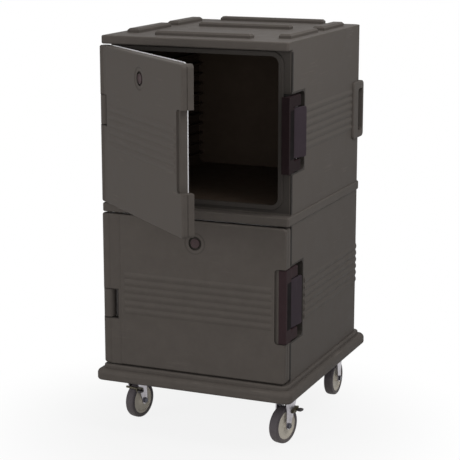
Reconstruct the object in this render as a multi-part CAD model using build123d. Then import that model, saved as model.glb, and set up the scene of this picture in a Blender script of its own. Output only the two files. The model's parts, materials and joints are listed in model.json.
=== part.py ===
from build123d import *
import os
from math import cos, radians, sin

# Insulated food pan cart: two stacked front-opening compartments on a bumper base with four casters.
# Millimetres, +Z up, front of the cart towards -Y. Every piece is drawn in cart coordinates, with
# y = 0 at the front of the top lip and z = 0 on the floor, and is moved to the shared frame at the end.

# Cabinet
BODY_HALF = 329.0            # half width over the side panels
BODY_FRONT = 37.0            # front edge of the side panels, floor of the door channel
BODY_REAR = 728.0
SKIN = 6.0                   # wall of the moulded outer skin
RIM_SKIN = 8.0               # top wall of each rim
SEAM = 0.3                   # room left around the insulation
BASE_TOP = 236.0
STAGE_PITCH = 562.0          # height of one compartment with its rim
STAGE_BOTTOMS = {"lower": BASE_TOP, "upper": BASE_TOP + STAGE_PITCH}
DOOR_ZONE = STAGE_PITCH - 30             # clear height between two rims, where a door sits
REAR_CORNER = 25.0
LEDGE_PROUD = 5.5            # how far the middle ledge stands out of the sides and rear
RIB_PITCH = 24.6
RIB_HALF = 11.3
RIB_PROUD = 3.0
RIB_COUNT = 6
RIB_DROP = {"lower": 8.0, "upper": -2.0}   # below the middle of the door

# Liner and pan rails
LINER_HALF = BODY_HALF - 44
LINER_WALL = 5.0
LINER_FLOOR = 31.0           # above the bottom of the compartment
LINER_CEILING = DOOR_ZONE - 20
LINER_BACK = BODY_REAR - 38
OPENING_CORNER = 25.0
BEAD_FRONT = BODY_FRONT - 6              # sealing bead around the opening
BEAD_WIDTH = 16.0
RAIL_COUNT = 12
RAIL_PITCH = (LINER_CEILING - LINER_FLOOR - 74) / (RAIL_COUNT - 1)
RAIL_REACH = 24.0
RAIL_FRONT = BODY_FRONT + 65

# Bumper base
BASE_HALF = BODY_HALF + 28
BASE_FRONT = -30.0
BASE_REAR = BODY_REAR + 30
BASE_BOTTOM = BASE_TOP - 55
BUMPER_TOP = BASE_TOP - 14

# Doors
DOOR_FRONT = -6.0
DOOR_BACK = 24.0
DOOR_RIGHT = BODY_HALF
DOOR_RIM_BACK = BODY_FRONT - 3           # the rim on the latch side reaches further back
DOOR_GAP = 5.0               # above and below each door
DOOR_OPEN = {"lower": 0.0, "upper": 41.0}
HINGE_X, HINGE_Y = 11 - BODY_HALF, 14.0
COLUMN_RADIUS = 20.0
COLUMN_STRIP = 48.0          # from the hinge axis to the door face, set back behind the column
PIN_RADIUS = 5.0
KNUCKLE_HALF = 49.0
KNUCKLE_HEIGHT = {"lower": 216.0, "upper": 315.0}   # above the bottom of the compartment
VENT_X = 8.0
VENT_DROP = 75.0             # below the top of the door
VENT_RADIUS = 16.0
VENT_HOLE = VENT_RADIUS + 7  # round well that the cap sits in

# Draw latches: lever pivot A, link pivot B, both with upright axes
LATCH_A = (BODY_HALF - 15, BODY_FRONT + 21)
LATCH_B = (LATCH_A[0], LATCH_A[1] + 34)
LATCH_OPEN = {"lower": 6.0, "upper": 16.0}
POCKET_FLOOR = BODY_HALF - 31
POCKET_REAR = LATCH_A[1] + 94
POCKET_HALF = 128.0
NOTCH_X = BODY_HALF - 25     # the door edge is cut away outside this line at the latch
NOTCH_HALF = POCKET_HALF - 2

# Push handles, each with a finger recess in the rear corner
HANDLE_FRONT, HANDLE_REAR = BODY_REAR - 92, BODY_REAR + 18
HANDLE_BOTTOM, HANDLE_TOP = STAGE_BOTTOMS["upper"] + 160, STAGE_BOTTOMS["upper"] + 362
HANDLE_PROUD = 8.0
GRIP_BOTTOM, GRIP_TOP = HANDLE_BOTTOM + 24, HANDLE_TOP - 26
RECESS_DEPTH, RECESS_LENGTH = 30.0, 52.0

# Casters
WHEEL_RADIUS = 63.5
HUB_RADIUS = WHEEL_RADIUS - 15
TRAIL = 26.0
FRONT_PIVOT = (BASE_HALF - 70, BASE_FRONT + 162)
REAR_WHEEL = (BASE_HALF - 89, BASE_REAR - 100)
PLATE_BOTTOM = BASE_BOTTOM - 5
CROWN_TOP, CROWN_BOTTOM = PLATE_BOTTOM - 8.4, PLATE_BOTTOM - 20
BOLT_X, BOLT_Y = 40.0, 33.0
HEADING = {"front_left": -11.0, "front_right": 166.0}

parts = {}


def block(x0, x1, y0, y1, z0, z1):
    """Box between two corners."""
    return Pos((x0 + x1) / 2, (y0 + y1) / 2, (z0 + z1) / 2) * Box(x1 - x0, y1 - y0, z1 - z0)


def post(x, y, z0, z1, radius):
    """Upright cylinder."""
    return Pos(x, y, (z0 + z1) / 2) * Cylinder(radius, z1 - z0)


def spindle(y, z, x0, x1, radius):
    """Cylinder along X."""
    return Pos((x0 + x1) / 2, y, z) * Rot(0, 90, 0) * Cylinder(radius, x1 - x0)


def plug(x, z, y0, y1, radius):
    """Cylinder along Y."""
    return Pos(x, (y0 + y1) / 2, z) * Rot(90, 0, 0) * Cylinder(radius, y1 - y0)


def front_slab(x0, x1, z0, z1, y0, y1, radius):
    """Plate with rounded corners seen from the front, from y0 back to y1."""
    outline = RectangleRounded(x1 - x0, z1 - z0, radius)
    plate = extrude(Plane.XZ * outline, -(y1 - y0))
    return Pos((x0 + x1) / 2, y0, (z0 + z1) / 2) * plate


def side_slab(y0, y1, z0, z1, x0, x1, radius):
    """Plate with rounded corners seen from the side, from x0 to x1."""
    outline = RectangleRounded(y1 - y0, z1 - z0, radius)
    plate = extrude(Plane.YZ * outline, x1 - x0)
    return Pos(x0, (y0 + y1) / 2, (z0 + z1) / 2) * plate


def side_plate(points, x0, x1):
    """Prism along X over an outline of (y, z) points."""
    outline = make_face(Polyline(*points, close=True))
    return Pos(x0, 0, 0) * extrude(Plane.YZ * outline, x1 - x0)


def round_upright(shape, radius, rear=True):
    """Round the upright edges at the rear or at the front."""
    groups = shape.edges().filter_by(Axis.Z).group_by(Axis.Y)
    return fillet(groups[-1] if rear else groups[0], radius)


def bumper_base():
    """Moulded base: bullnose bumper and low plateau under the cabinet, hollow inside for insulation."""
    middle = (BASE_FRONT + BASE_REAR) / 2
    bumper = extrude(RectangleRounded(2 * BASE_HALF, BASE_REAR - BASE_FRONT, 24), BUMPER_TOP - BASE_BOTTOM)
    bumper = Pos(0, middle, BASE_BOTTOM) * bumper
    bumper = fillet(bumper.edges().group_by(Axis.Z)[-1], 18)
    bumper = fillet(bumper.edges().group_by(Axis.Z)[0], 10)
    plateau_half = BODY_HALF + 9
    plateau = extrude(RectangleRounded(2 * plateau_half, BODY_REAR + 18, 18), BASE_TOP - BUMPER_TOP + 4)
    plateau = Pos(0, BODY_REAR / 2, BUMPER_TOP - 4) * plateau
    plateau = fillet(plateau.edges().group_by(Axis.Z)[-1], 6)
    base = bumper + plateau - base_core(0)
    for x, y in bolt_spots():
        base -= post(x, y, BASE_BOTTOM - 1, BASE_BOTTOM + 22, 4.3)
    return base


def base_core(gap):
    """Space for the insulation of the base, with solid pads left over the casters."""
    half = BODY_HALF - 4 - gap
    core = block(-half, half, 2 + gap, BODY_REAR - 2 - gap, BASE_BOTTOM + 9 + gap, BASE_TOP - 9 - gap)
    for side in (-1, 1):
        for x, y in (FRONT_PIVOT, REAR_WHEEL):
            half_x, half_y = 56 + gap, 48 + gap
            core -= block(side * x - half_x, side * x + half_x, y - half_y, y + half_y, BASE_BOTTOM, BASE_TOP)
    return core


def bolt_spots():
    """Plan positions of the sixteen caster bolts."""
    spots = []
    for side in (-1, 1):
        for x, y in (FRONT_PIVOT, REAR_WHEEL):
            for dx in (-BOLT_X, BOLT_X):
                for dy in (-BOLT_Y, BOLT_Y):
                    spots.append((side * x + dx, y + dy))
    return spots


def bevel(face, along, down):
    """Bevel all edges of one face, by a width along that face and a depth down its sides."""
    return chamfer(face.edges(), along, length2=down, reference=face)


def wrap_rib(z):
    """One soft rib that runs back along both side panels and across the rear."""
    half = BODY_HALF + RIB_PROUD
    rib = block(-half, half, POCKET_REAR + SKIN + 6, BODY_REAR + RIB_PROUD, z - RIB_HALF, z + RIB_HALF)
    rib = round_upright(rib, REAR_CORNER + RIB_PROUD)
    rib = bevel(rib.faces().sort_by(Axis.Z)[-1], RIB_PROUD - 0.1, RIB_HALF - 3)
    return bevel(rib.faces().sort_by(Axis.Z)[0], RIB_PROUD - 0.1, RIB_HALF - 3)


def rib_heights(middle):
    """Heights of the ribs of one compartment."""
    return [middle + (i - (RIB_COUNT - 1) / 2) * RIB_PITCH for i in range(RIB_COUNT)]


def deck_ribs(top):
    """Raised bars on the top deck, four along the sides and three across."""
    centre = BODY_REAR / 2 + 48
    bars = []
    for side in (-1, 1):
        x = side * (BODY_HALF - 58)
        for y0, y1 in ((BODY_FRONT + 85, centre - 34), (centre + 26, BODY_REAR - 84)):
            bars.append(block(x - 21, x + 21, y0, y1, top - 2, top + 14))
    short, long = BODY_HALF - 160, BODY_HALF - 132
    front, rear = BODY_FRONT + 41, BODY_REAR - 38
    spans = ((short, front, front + 34), (short, centre + 20, centre + 54), (long, rear, rear + 30))
    for half, y0, y1 in spans:
        bars.append(block(-half, half, y0, y1, top - 2, top + 14))
    return [chamfer(bar.edges().group_by(Axis.Z)[-1], 6) for bar in bars]


def handle_seat():
    """Where the ribs of the upper skin stop for the right push handle."""
    rear, low, high = BODY_REAR + 12, HANDLE_BOTTOM - 4, HANDLE_TOP + 4
    seat = block(BODY_HALF, BODY_HALF + 11, HANDLE_FRONT - 4, rear, low, high)
    return seat + block(BODY_HALF - RECESS_DEPTH - 4, BODY_HALF + 11, BODY_REAR, rear, low, high)


def recess_block(gap):
    """Outside of the right finger recess, let into the rear corner of the upper skin."""
    depth, length = RECESS_DEPTH + SKIN + gap, RECESS_LENGTH + SKIN + gap
    low, high = GRIP_BOTTOM - SKIN - gap, GRIP_TOP + SKIN + gap
    return block(BODY_HALF - depth, BODY_HALF + gap, BODY_REAR - length, BODY_REAR + gap, low, high)


def pocket_block(bottom, gap):
    """Outside of the latch pocket, let into the right edge of the skin."""
    middle = bottom + DOOR_ZONE / 2
    half = POCKET_HALF + SKIN + gap
    left, rear = POCKET_FLOOR - SKIN - gap, POCKET_REAR + SKIN + gap
    return block(left, BODY_HALF + gap, BODY_FRONT - gap, rear, middle - half, middle + half)


def cabinet_shell(bottom, rib_middle, is_top):
    """Outer skin of one compartment, open to the front, with its rim, ribs and hinge notch."""
    ceiling = bottom + DOOR_ZONE
    top = bottom + STAGE_PITCH - (2 if is_top else 0)
    body = block(-BODY_HALF, BODY_HALF, BODY_FRONT, BODY_REAR, bottom, top - 1)
    body = round_upright(body, REAR_CORNER)
    proud = 0 if is_top else LEDGE_PROUD
    rim = block(-BODY_HALF - proud, BODY_HALF + proud, 0, BODY_REAR + proud, ceiling, top)
    rim = round_upright(rim, REAR_CORNER + proud)
    rim = round_upright(rim, 8, rear=False)
    rim = fillet(rim.edges().group_by(Axis.Z)[-1], 5)
    rim = fillet(rim.edges().group_by(Axis.Z)[0], 5)
    outer = body + rim
    for z in rib_heights(rib_middle):
        outer += wrap_rib(z)
    if is_top:
        for bar in deck_ribs(top):
            outer += bar
        outer -= handle_seat()
        outer -= mirror(handle_seat(), Plane.YZ)
    inside = BODY_HALF - SKIN
    hollow = block(-inside, inside, BODY_FRONT - 1, BODY_REAR - SKIN, bottom + SKIN, ceiling)
    shell = outer - round_upright(hollow, REAR_CORNER - SKIN)
    rim_hollow = block(-inside, inside, BODY_FRONT + SKIN, BODY_REAR - SKIN, ceiling - 1, top - RIM_SKIN)
    shell -= round_upright(rim_hollow, REAR_CORNER - SKIN)
    notch = BODY_FRONT + 38
    shell += block(-inside, HINGE_X + 23, BODY_FRONT, notch + SKIN, bottom, ceiling)
    shell -= block(-BODY_HALF - 1, HINGE_X + 17, BODY_FRONT - 1, notch, bottom, ceiling)
    if is_top:
        shell -= recess_block(0)
        shell -= mirror(recess_block(0), Plane.YZ)
    return shell - pocket_block(bottom, 0)


def latch_tray(bottom):
    """Pocket for the latch, open to the front and to the right."""
    middle = bottom + DOOR_ZONE / 2
    pocket = side_slab(BODY_FRONT - 57, POCKET_REAR, middle - POCKET_HALF, middle + POCKET_HALF,
                       POCKET_FLOOR, BODY_HALF + 1, 18)
    return pocket_block(bottom, 0) - pocket


def liner(bottom):
    """Inner tub with the door frame: a flange that closes the skin and the sealing bead."""
    floor, ceiling = bottom + LINER_FLOOR, bottom + LINER_CEILING
    outside = LINER_HALF + LINER_WALL
    tub = front_slab(-outside, outside, floor - LINER_WALL, ceiling + LINER_WALL,
                     BODY_FRONT, LINER_BACK + LINER_WALL, OPENING_CORNER + LINER_WALL)
    flange = block(HINGE_X + 23, BODY_HALF - SKIN, BODY_FRONT, BODY_FRONT + SKIN,
                   bottom + SKIN, bottom + DOOR_ZONE)
    bead_half = LINER_HALF + BEAD_WIDTH
    bead = front_slab(-bead_half, bead_half, floor - BEAD_WIDTH, ceiling + BEAD_WIDTH,
                      BEAD_FRONT, BODY_FRONT, OPENING_CORNER + BEAD_WIDTH)
    bead = chamfer(bead.edges().group_by(Axis.Y)[0], 2)
    flange -= pocket_block(bottom, 0)
    cavity = front_slab(-LINER_HALF, LINER_HALF, floor, ceiling, BEAD_FRONT - 1, LINER_BACK, OPENING_CORNER)
    return tub + flange + bead - cavity


def cabinet_foam(bottom, is_top):
    """Insulation between the skin and the liner."""
    top = bottom + STAGE_PITCH - (2 if is_top else 0)
    inside = BODY_HALF - SKIN - SEAM
    floor, ceiling = bottom + LINER_FLOOR, bottom + LINER_CEILING
    outside, wall = LINER_HALF + LINER_WALL + SEAM, LINER_WALL + SEAM
    foam = block(-inside, inside, BODY_FRONT + SKIN + SEAM, BODY_REAR - SKIN - SEAM,
                 bottom + SKIN + SEAM, top - RIM_SKIN - SEAM)
    foam = round_upright(foam, REAR_CORNER - SKIN - SEAM)
    foam -= block(-outside, outside, 0, LINER_BACK + wall, floor - wall, ceiling + wall)
    notch = BODY_FRONT + 38 + SKIN + SEAM
    foam -= block(-BODY_HALF, HINGE_X + 23 + SEAM, 0, notch, bottom, bottom + DOOR_ZONE)
    if is_top:
        foam -= recess_block(SEAM)
        foam -= mirror(recess_block(SEAM), Plane.YZ)
    return foam - pocket_block(bottom, SEAM)


def rails(bottom):
    """Pan rails on both liner walls, one above the other."""
    length = LINER_BACK - 18 - RAIL_FRONT
    bars = []
    for side in (-1, 1):
        wall, tip = side * LINER_HALF, side * (LINER_HALF - RAIL_REACH)
        for i in range(RAIL_COUNT):
            z = bottom + LINER_FLOOR + 42 + i * RAIL_PITCH
            profile = Polyline((wall, z), (tip, z), (tip, z - 6), (wall, z - 15), close=True)
            bars.append(Pos(0, RAIL_FRONT, 0) * extrude(Plane.XZ * make_face(profile), -length))
    return Part() + bars


def push_handle():
    """Upright grip round the right rear corner of the upper compartment, with its finger recess."""
    inner, outer = BODY_HALF - RECESS_DEPTH, BODY_HALF + HANDLE_PROUD
    ear = side_slab(HANDLE_FRONT, HANDLE_REAR, HANDLE_BOTTOM, HANDLE_TOP, inner, outer, 16)
    ear = fillet(ear.edges().group_by(Axis.X)[-1], 5)
    ear -= block(inner - 1, BODY_HALF, HANDLE_FRONT - 1, BODY_REAR, HANDLE_BOTTOM - 1, HANDLE_TOP + 1)
    ear -= side_slab(HANDLE_FRONT + 48, BODY_REAR + 2, GRIP_BOTTOM, GRIP_TOP, inner - 1, outer + 1, 12)
    ear -= block(inner - 1, BODY_HALF - 14, BODY_REAR - 1, HANDLE_REAR + 1, GRIP_BOTTOM, GRIP_TOP)
    recess = block(inner, BODY_HALF + 1, BODY_REAR - RECESS_LENGTH, BODY_REAR + 1, GRIP_BOTTOM, GRIP_TOP)
    return ear + (recess_block(0) - recess)


def door_latch_cut(middle):
    """Shallow hollow in the door face and a cut right through its edge, where the latch link sits."""
    low, high = middle - NOTCH_HALF, middle + NOTCH_HALF
    hollow = front_slab(NOTCH_X - 14, BODY_HALF + 21, low, high, DOOR_FRONT - 12, DOOR_FRONT + 8, 12)
    return hollow + block(NOTCH_X, BODY_HALF + 21, DOOR_FRONT - 12, DOOR_RIM_BACK + 26, low, high)


def door_core(bottom, gap):
    """Space for the insulation of a door, open to the back, less the vent boss."""
    low, high = bottom + DOOR_GAP + 12 + gap, bottom + DOOR_ZONE - DOOR_GAP - 12 - gap
    left, right = HINGE_X + COLUMN_STRIP + SKIN + gap, BODY_HALF - 46 - gap
    core = block(left, right, DOOR_FRONT + SKIN + gap, DOOR_BACK, low, high)
    return core - plug(VENT_X, vent_height(bottom), DOOR_FRONT + 5, DOOR_FRONT + 14 + gap, VENT_HOLE + 19 + gap)


def vent_height(bottom):
    """Height of the steam vent of a door."""
    return bottom + DOOR_ZONE - DOOR_GAP - VENT_DROP


def door_shell(bottom, rib_middle, knuckle):
    """Moulded door: face, rim on the latch side, round hinge column, ribs, vent dish and latch cut."""
    low, high = bottom + DOOR_GAP, bottom + DOOR_ZONE - DOOR_GAP
    middle, vent = bottom + DOOR_ZONE / 2, vent_height(bottom)
    start = HINGE_X + COLUMN_STRIP
    face = block(start, DOOR_RIGHT, DOOR_FRONT, DOOR_BACK, low, high)
    face += block(NOTCH_X + 1, DOOR_RIGHT, DOOR_FRONT, DOOR_RIM_BACK, low, high)
    corners = face.edges().filter_by(Axis.Y).group_by(Axis.X)[-1]
    face = fillet(corners, 12)
    face = fillet(face.faces().sort_by(Axis.Y)[0].edges(), 6)
    column = post(HINGE_X, HINGE_Y, low, high, COLUMN_RADIUS)
    column = fillet(column.edges().filter_by(GeomType.CIRCLE), 6)
    door = face + column + block(HINGE_X, start + 1, HINGE_Y - 16, DOOR_BACK, low, high)
    for z in rib_heights(rib_middle):
        rib = block(start + 14, BODY_HALF - 45, DOOR_FRONT - RIB_PROUD, DOOR_FRONT + 1,
                    z - RIB_HALF, z + RIB_HALF)
        door += bevel(rib.faces().sort_by(Axis.Y)[0], RIB_HALF - 3, RIB_PROUD - 0.1)
    door -= door_core(bottom, 0)
    door -= door_latch_cut(middle)
    door -= block(DOOR_RIGHT - 1.6, DOOR_RIGHT + 1, DOOR_FRONT + 17, DOOR_FRONT + 20, low - 1, high + 1)
    door -= block(HINGE_X - 27, HINGE_X + 38, HINGE_Y - 44, HINGE_Y + 46,
                  knuckle - KNUCKLE_HALF - 1, knuckle + KNUCKLE_HALF + 1)
    dish = plug(VENT_X, vent, DOOR_FRONT, DOOR_FRONT + 2, VENT_HOLE + 14)
    door -= bevel(dish.faces().sort_by(Axis.Y)[-1], 9, 1.9)
    door -= plug(VENT_X, vent, DOOR_FRONT - 1, DOOR_FRONT + 7, VENT_HOLE)
    door -= plug(VENT_X, vent, DOOR_FRONT - 1, DOOR_BACK, 8.5)
    return door - post(HINGE_X, HINGE_Y, low - 1, high + 1, PIN_RADIUS + 0.05)


def panel_zone(bottom, gap):
    """Layer at the back of a door where its inner skin lies."""
    return block(-BODY_HALF, BODY_HALF, DOOR_BACK - 4 - gap, DOOR_BACK + gap, bottom, bottom + DOOR_ZONE)


def door_panel(bottom):
    """Inner skin that closes the back of a door."""
    panel = door_core(bottom, 0) & panel_zone(bottom, 0)
    return panel - plug(VENT_X, vent_height(bottom), DOOR_FRONT, DOOR_BACK + 10, 8.5)


def door_foam(bottom):
    """Insulation inside a door."""
    core = door_core(bottom, SEAM) - panel_zone(bottom, SEAM)
    return core - plug(VENT_X, vent_height(bottom), DOOR_FRONT, DOOR_BACK + 10, 10)


def gasket(bottom):
    """Soft ring on the back of a door, in front of the sealing bead; it shows above the door."""
    floor, ceiling = bottom + LINER_FLOOR, bottom + LINER_CEILING
    half, front = LINER_HALF + 14, BEAD_FRONT - 0.4
    ring = front_slab(-half, half, floor - 14, bottom + DOOR_ZONE - DOOR_GAP + 2.5, DOOR_BACK, front, 24)
    return ring - front_slab(12 - half, half - 12, floor - 2, ceiling, DOOR_BACK - 1, front + 1, 20)


def vent_cap(bottom):
    """Round cap with a stem that stops the steam vent of a door."""
    vent = vent_height(bottom)
    head = plug(VENT_X, vent, DOOR_FRONT + 1.4, DOOR_FRONT + 6.7, VENT_RADIUS)
    head = fillet(head.edges().group_by(Axis.Y)[0], 1.6)
    return head + plug(VENT_X, vent, DOOR_FRONT + 6, DOOR_BACK - 6, 8)


def hinge_knuckle(knuckle):
    """Barrel on an arm that is fixed in the hinge notch of the cabinet."""
    low, high = knuckle - KNUCKLE_HALF, knuckle + KNUCKLE_HALF
    barrel = post(HINGE_X, HINGE_Y, low, high, COLUMN_RADIUS - 0.5)
    barrel = fillet(barrel.edges().filter_by(GeomType.CIRCLE), 2.5)
    arm = block(HINGE_X + 1, HINGE_X + 17, HINGE_Y, BODY_FRONT + 37, low + 4, high - 4)
    return barrel + arm - post(HINGE_X, HINGE_Y, low - 1, high + 1, PIN_RADIUS + 0.02)


def latch_base(middle):
    """Plate on the pocket floor with two lugs for the lever pin."""
    ax, ay = LATCH_A
    plate = side_slab(ay - 16, ay + 62, middle - 75, middle + 75, POCKET_FLOOR, POCKET_FLOOR + 4, 6)
    for side in (-1, 1):
        low, high = middle + side * 66 - 6, middle + side * 66 + 6
        plate += block(POCKET_FLOOR + 2, ax, ay - 6, ay + 6, low, high)
        plate += post(ax, ay, low, high, 6)
    for y, z in latch_screw_spots(middle):
        plate -= spindle(y, z, POCKET_FLOOR - 1, POCKET_FLOOR + 5, 2.5)
    return plate - post(ax, ay, middle - 80, middle + 80, 3.02)


def latch_screw_spots(middle):
    """Positions of the four screws of a latch plate."""
    return [(LATCH_A[1] + dy, middle + side * 46) for dy in (14, 54) for side in (-1, 1)]


def latch_screws(middle):
    """Round-headed screws of a latch plate."""
    screws = []
    for y, z in latch_screw_spots(middle):
        head = spindle(y, z, POCKET_FLOOR + 4, POCKET_FLOOR + 6.4, 4.5)
        screws.append(head + spindle(y, z, POCKET_FLOOR + 0.2, POCKET_FLOOR + 5, 2.4))
    return screws


def latch_lever(middle):
    """Pull lever: outer panel with a pivot boss at A and a spine at B."""
    (ax, ay), (bx, by) = LATCH_A, LATCH_B
    inner = BODY_HALF - 7
    panel = side_slab(ay - 9.5, ay + 72, middle - 82, middle + 82, inner, BODY_HALF, 7)
    panel = fillet(panel.edges().group_by(Axis.X)[-1], 3)
    lever = panel + block(ax, inner + 1, ay - 8, ay + 8, middle - 59, middle + 59)
    lever += post(ax, ay, middle - 59, middle + 59, 8)
    lever += block(bx, inner + 1, by - 8, by + 8, middle - 80, middle + 80)
    lever += post(bx, by, middle - 80, middle + 80, 8)
    lever -= post(ax, ay, middle - 90, middle + 90, 3.05)
    return lever - post(bx, by, middle - 90, middle + 90, 3.05)


def latch_link(middle):
    """Hooked frame: a full-height strip over the door edge and two arms back to pivot B."""
    half = NOTCH_HALF - 3
    front, outer = DOOR_FRONT - 0.5, BODY_HALF - 1
    link = side_slab(front, BODY_FRONT + 1, middle - half, middle + half, outer - 8, outer, 5)
    strip = block(NOTCH_X - 3, outer - 2, front, front + 8, middle - half, middle + half)
    link += fillet(strip.edges().filter_by(Axis.Z).group_by(Axis.X)[0], 2.5)
    for side in (-1, 1):
        low, high = sorted((middle + side * 86, middle + side * half))
        arm = side_slab(front, LATCH_B[1] + 9, low, high, outer - 21, outer, 5)
        link += fillet(arm.edges().filter_by(Axis.Z).group_by(Axis.Y)[-1], 5)
    return link - post(LATCH_B[0], LATCH_B[1], middle - half + 4, middle + half - 4, 3.02)


def caster_plate():
    """Top plate of a caster with its four bolt holes."""
    plate = Pos(0, 0, PLATE_BOTTOM) * extrude(RectangleRounded(104, 90, 7), BASE_BOTTOM - PLATE_BOTTOM)
    for x in (-BOLT_X, BOLT_X):
        for y in (-BOLT_Y, BOLT_Y):
            plate -= post(x, y, PLATE_BOTTOM - 1, BASE_BOTTOM + 1, 4.5)
    return plate


def swivel_plate():
    """Top plate with its ball race and kingpin; drawn about the swivel axis."""
    plate = caster_plate() + post(0, 0, CROWN_TOP + 0.4, PLATE_BOTTOM + 1, 35)
    plate += post(0, 0, CROWN_BOTTOM - 6, CROWN_TOP + 2, 8)
    return plate + post(0, 0, CROWN_BOTTOM - 9, CROWN_BOTTOM - 0.4, 13)


def fork_leg(points, y, x0, x1):
    """One leg of a fork with a round end at the axle."""
    return side_plate(points, x0, x1) + spindle(y, WHEEL_RADIUS, x0, x1, 13)


def brake_pivot():
    """Place of the brake pin, above and ahead of the axle."""
    return TRAIL - 21, WHEEL_RADIUS + 45.5


def swivel_fork():
    """Trailing fork of a swivel caster."""
    shoulder = CROWN_BOTTOM + 6
    outline = ((-24, shoulder), (36, shoulder), (TRAIL + 13, WHEEL_RADIUS), (TRAIL - 13, WHEEL_RADIUS))
    fork = post(0, 0, CROWN_BOTTOM, CROWN_TOP, 38) + block(-24, 24, -24, 36, CROWN_BOTTOM, shoulder)
    fork += fork_leg(outline, TRAIL, 20, 24) + fork_leg(outline, TRAIL, -24, -20)
    fork -= post(0, 0, CROWN_BOTTOM - 6, CROWN_TOP + 2, 8.3)
    fork -= spindle(*brake_pivot(), -25, -19, 4.05)
    return fork - spindle(TRAIL, WHEEL_RADIUS, -30, 30, 5.02)


def rigid_fork():
    """Plate and fork of a fixed caster in one pressing; drawn about the wheel centre."""
    root = PLATE_BOTTOM + 1
    outline = ((-30, root), (30, root), (13, WHEEL_RADIUS), (-13, WHEEL_RADIUS))
    fork = caster_plate() + fork_leg(outline, 0, 20, 24) + fork_leg(outline, 0, -24, -20)
    return fork - spindle(0, WHEEL_RADIUS, -30, 30, 5.02)


def axle(y):
    """Axle bolt with a hexagon head and nut outside the fork."""
    bolt = spindle(y, WHEEL_RADIUS, -24.5, 24.5, 5)
    hexagon = extrude(Plane.YZ * RegularPolygon(9.5, 6), 6)
    return bolt + Pos(24, y, WHEEL_RADIUS) * hexagon + Pos(-30, y, WHEEL_RADIUS) * hexagon


def wheel_ring(half, y):
    """Ring about a wheel axle from one half of its outline, as (offset, radius) points."""
    profile = half + tuple((-x, r) for x, r in reversed(half))
    outline = make_face(Polyline(*profile, close=True))
    return Pos(0, y, WHEEL_RADIUS) * revolve(outline, Axis.X, 360)


def wheel_hub(y):
    """Nearly flat wheel centre with a long boss and a rim for the tyre."""
    rim = HUB_RADIUS
    return wheel_ring(((19.6, 5.06), (19.6, 12), (13, 14), (12, rim - 10), (14.5, rim - 7), (14.5, rim)), y)


def tyre(y):
    """Solid tyre with a rounded tread."""
    rim, tread = HUB_RADIUS + 0.02, WHEEL_RADIUS
    return wheel_ring(((14.5, rim), (16.5, rim + 2), (16.5, tread - 6.5), (15, tread - 2.5),
                       (12.5, tread - 0.6), (9, tread)), y)


def brake_pedal():
    """Foot lever with its pivot pin, foot tab and a bar that is pressed on the tread."""
    py, pz = brake_pivot()
    reach = WHEEL_RADIUS + 7
    by, bz = TRAIL - reach * cos(radians(50)), WHEEL_RADIUS + reach * sin(radians(50))
    outline = ((py + 5, pz - 6), (py + 6, pz + 5), (by + 5, bz + 6.5), (by - 6, bz + 3.5),
               (by - 6, bz - 5.5), (py - 13, pz - 7))
    tab = block(-44, -26, by - 8, by + 9, bz - 8.5, bz - 4.5)
    tab = fillet(tab.edges().filter_by(Axis.Z).group_by(Axis.X)[0], 5)
    pedal = side_plate(outline, -28.5, -24.4) + tab
    return pedal + spindle(by, bz, -26, 22, 4) + spindle(py, pz, -31, -20.3, 4)


def caster_bolts():
    """Hexagon bolts that hold the four caster plates."""
    bolts = []
    for x, y in bolt_spots():
        head = Pos(x, y, PLATE_BOTTOM - 5.5) * extrude(RegularPolygon(7.5, 6), 5.5)
        bolts.append(head + post(x, y, PLATE_BOTTOM - 1, BASE_BOTTOM + 19, 4))
    return Part() + bolts


def swing_door(shape, stage):
    """Turn a closed door piece to the angle at which its door stands."""
    return shape.rotate(Axis((HINGE_X, HINGE_Y, 0), (0, 0, 1)), -DOOR_OPEN[stage])


def place_stage(stage):
    """All pieces of one compartment with its door and latch."""
    bottom = STAGE_BOTTOMS[stage]
    knuckle = bottom + KNUCKLE_HEIGHT[stage]
    middle = bottom + DOOR_ZONE / 2
    rib_middle = middle - RIB_DROP[stage]
    low, high = bottom + DOOR_GAP, bottom + DOOR_ZONE - DOOR_GAP
    parts[stage + "_shell"] = cabinet_shell(bottom, rib_middle, stage == "upper")
    parts[stage + "_liner"] = liner(bottom)
    parts[stage + "_foam"] = cabinet_foam(bottom, stage == "upper")
    parts[stage + "_rails"] = rails(bottom)
    parts[stage + "_latch_tray"] = latch_tray(bottom)
    parts[stage + "_hinge_knuckle"] = hinge_knuckle(knuckle)
    parts[stage + "_hinge_pin"] = post(HINGE_X, HINGE_Y, low + 2, high - 2, PIN_RADIUS)
    parts[stage + "_door_shell"] = swing_door(door_shell(bottom, rib_middle, knuckle), stage)
    parts[stage + "_door_panel"] = swing_door(door_panel(bottom), stage)
    parts[stage + "_door_foam"] = swing_door(door_foam(bottom), stage)
    parts[stage + "_gasket"] = swing_door(gasket(bottom), stage)
    parts[stage + "_vent_cap"] = swing_door(vent_cap(bottom), stage)
    angle = LATCH_OPEN[stage]
    reach = LATCH_B[1] - LATCH_A[1]
    pivot = Axis((LATCH_A[0], LATCH_A[1], 0), (0, 0, 1))
    link_move = Pos(reach * sin(radians(angle)), reach * (cos(radians(angle)) - 1), 0)
    parts[stage + "_latch_base"] = latch_base(middle)
    parts[stage + "_latch_pin"] = post(LATCH_A[0], LATCH_A[1], middle - 72, middle + 72, 3)
    parts[stage + "_latch_lever"] = latch_lever(middle).rotate(pivot, -angle)
    parts[stage + "_latch_link"] = link_move * latch_link(middle)
    parts[stage + "_link_pin"] = link_move * post(*LATCH_B, middle - NOTCH_HALF + 8, middle + NOTCH_HALF - 8, 3)
    return latch_screws(middle)


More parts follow.
